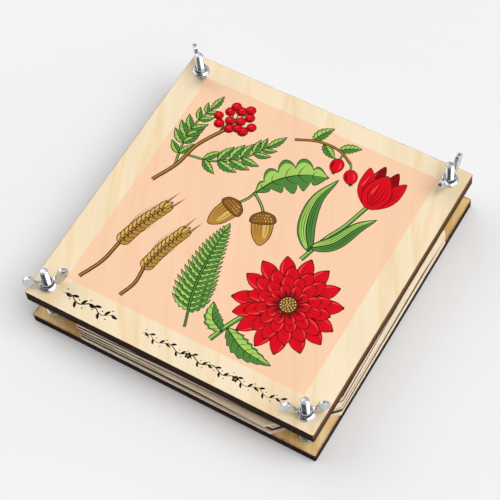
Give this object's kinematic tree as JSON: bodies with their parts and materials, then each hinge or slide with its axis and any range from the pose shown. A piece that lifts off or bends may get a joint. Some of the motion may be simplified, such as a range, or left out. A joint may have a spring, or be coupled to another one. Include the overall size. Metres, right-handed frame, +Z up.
{
  "type": "flower press",
  "caption": "Plywood flower press: two square boards joined by corner bolts with wing nuts, holding blotting papers and corrugated cards with cut corners.",
  "frame": {"origin": "centre of the bottom board's underside", "axes": "+Z up along the bolts; -Y towards the front edge, below which the picture was taken; +X to the right along that edge"},
  "size_m": [0.1825, 0.1848, 0.0482],
  "materials": {
    "plywood_base": "birch plywood, laser cut, uncoated",
    "plywood_top": "birch plywood, laser cut, printed panel on the upper face",
    "bolt_zinc": "bright zinc plating",
    "washer_zinc": "bright zinc plating",
    "lock_nut_zinc": "bright zinc plating",
    "wing_nut_zinc": "bright zinc plating",
    "blotting_paper": "matte, soft fibres",
    "corrugated_card": "matte kraft"
  },
  "bodies": {
    "base": {"bottom_board": "plywood_base", "bolt_front_left": "bolt_zinc", "bolt_front_right": "bolt_zinc", "bolt_back_right": "bolt_zinc", "bolt_back_left": "bolt_zinc", "base_washer_front_left": "washer_zinc", "base_washer_front_right": "washer_zinc", "base_washer_back_right": "washer_zinc", "base_washer_back_left": "washer_zinc", "lock_nut_front_left": "lock_nut_zinc", "lock_nut_front_right": "lock_nut_zinc", "lock_nut_back_right": "lock_nut_zinc", "lock_nut_back_left": "lock_nut_zinc", "blotter_01": "blotting_paper"},
    "layer_1": {"blotter_02": "blotting_paper", "card_1": "corrugated_card", "blotter_03": "blotting_paper"},
    "layer_2": {"blotter_04": "blotting_paper", "card_2": "corrugated_card", "blotter_05": "blotting_paper"},
    "layer_3": {"blotter_06": "blotting_paper", "card_3": "corrugated_card", "blotter_07": "blotting_paper"},
    "layer_4": {"blotter_08": "blotting_paper", "card_4": "corrugated_card", "blotter_09": "blotting_paper"},
    "layer_5": {"blotter_10": "blotting_paper"},
    "lid": {"top_board": "plywood_top"},
    "seat_front_left": {"washer_front_left": "washer_zinc"},
    "nut_front_left": {"wing_nut_front_left": "wing_nut_zinc"},
    "seat_front_right": {"washer_front_right": "washer_zinc"},
    "nut_front_right": {"wing_nut_front_right": "wing_nut_zinc"},
    "seat_back_right": {"washer_back_right": "washer_zinc"},
    "nut_back_right": {"wing_nut_back_right": "wing_nut_zinc"},
    "seat_back_left": {"washer_back_left": "washer_zinc"},
    "nut_back_left": {"wing_nut_back_left": "wing_nut_zinc"}
  },
  "joints": [
    {"name": "flower_space_1", "type": "slide", "parent": "base", "child": "layer_1", "axis": [0, 0, 1], "range_m": [0, 0.001]},
    {"name": "flower_space_2", "type": "slide", "parent": "layer_1", "child": "layer_2", "axis": [0, 0, 1], "range_m": [0, 0.001]},
    {"name": "flower_space_3", "type": "slide", "parent": "layer_2", "child": "layer_3", "axis": [0, 0, 1], "range_m": [0, 0.001]},
    {"name": "flower_space_4", "type": "slide", "parent": "layer_3", "child": "layer_4", "axis": [0, 0, 1], "range_m": [0, 0.001]},
    {"name": "flower_space_5", "type": "slide", "parent": "layer_4", "child": "layer_5", "axis": [0, 0, 1], "range_m": [0, 0.001]},
    {"name": "press_lift", "type": "slide", "parent": "layer_5", "child": "lid", "axis": [0, 0, 1], "range_m": [0, 0.004]},
    {"name": "wing_nut_turn_front_left", "type": "hinge", "parent": "lid", "child": "seat_front_left", "pos_m": [-0.0805, -0.0805, 0.033], "axis": [0, 0, 1], "range_deg": [0, 2520]},
    {"name": "wing_nut_rise_front_left", "type": "slide", "parent": "seat_front_left", "child": "nut_front_left", "axis": [0, 0, 1], "range_m": [0, 0.0056]},
    {"name": "wing_nut_turn_front_right", "type": "hinge", "parent": "lid", "child": "seat_front_right", "pos_m": [0.0805, -0.0805, 0.033], "axis": [0, 0, 1], "range_deg": [0, 2520]},
    {"name": "wing_nut_rise_front_right", "type": "slide", "parent": "seat_front_right", "child": "nut_front_right", "axis": [0, 0, 1], "range_m": [0, 0.0056]},
    {"name": "wing_nut_turn_back_right", "type": "hinge", "parent": "lid", "child": "seat_back_right", "pos_m": [0.0805, 0.0805, 0.033], "axis": [0, 0, 1], "range_deg": [0, 2520]},
    {"name": "wing_nut_rise_back_right", "type": "slide", "parent": "seat_back_right", "child": "nut_back_right", "axis": [0, 0, 1], "range_m": [0, 0.0056]},
    {"name": "wing_nut_turn_back_left", "type": "hinge", "parent": "lid", "child": "seat_back_left", "pos_m": [-0.0805, 0.0805, 0.033], "axis": [0, 0, 1], "range_deg": [0, 2520]},
    {"name": "wing_nut_rise_back_left", "type": "slide", "parent": "seat_back_left", "child": "nut_back_left", "axis": [0, 0, 1], "range_m": [0, 0.0056]}
  ],
  "couplings": [
    {"joint": "wing_nut_rise_front_left", "follows": "wing_nut_turn_front_left", "m_per_rad": 0.00012732},
    {"joint": "wing_nut_rise_front_right", "follows": "wing_nut_turn_front_right", "m_per_rad": 0.00012732},
    {"joint": "wing_nut_rise_back_right", "follows": "wing_nut_turn_back_right", "m_per_rad": 0.00012732},
    {"joint": "wing_nut_rise_back_left", "follows": "wing_nut_turn_back_left", "m_per_rad": 0.00012732}
  ]
}
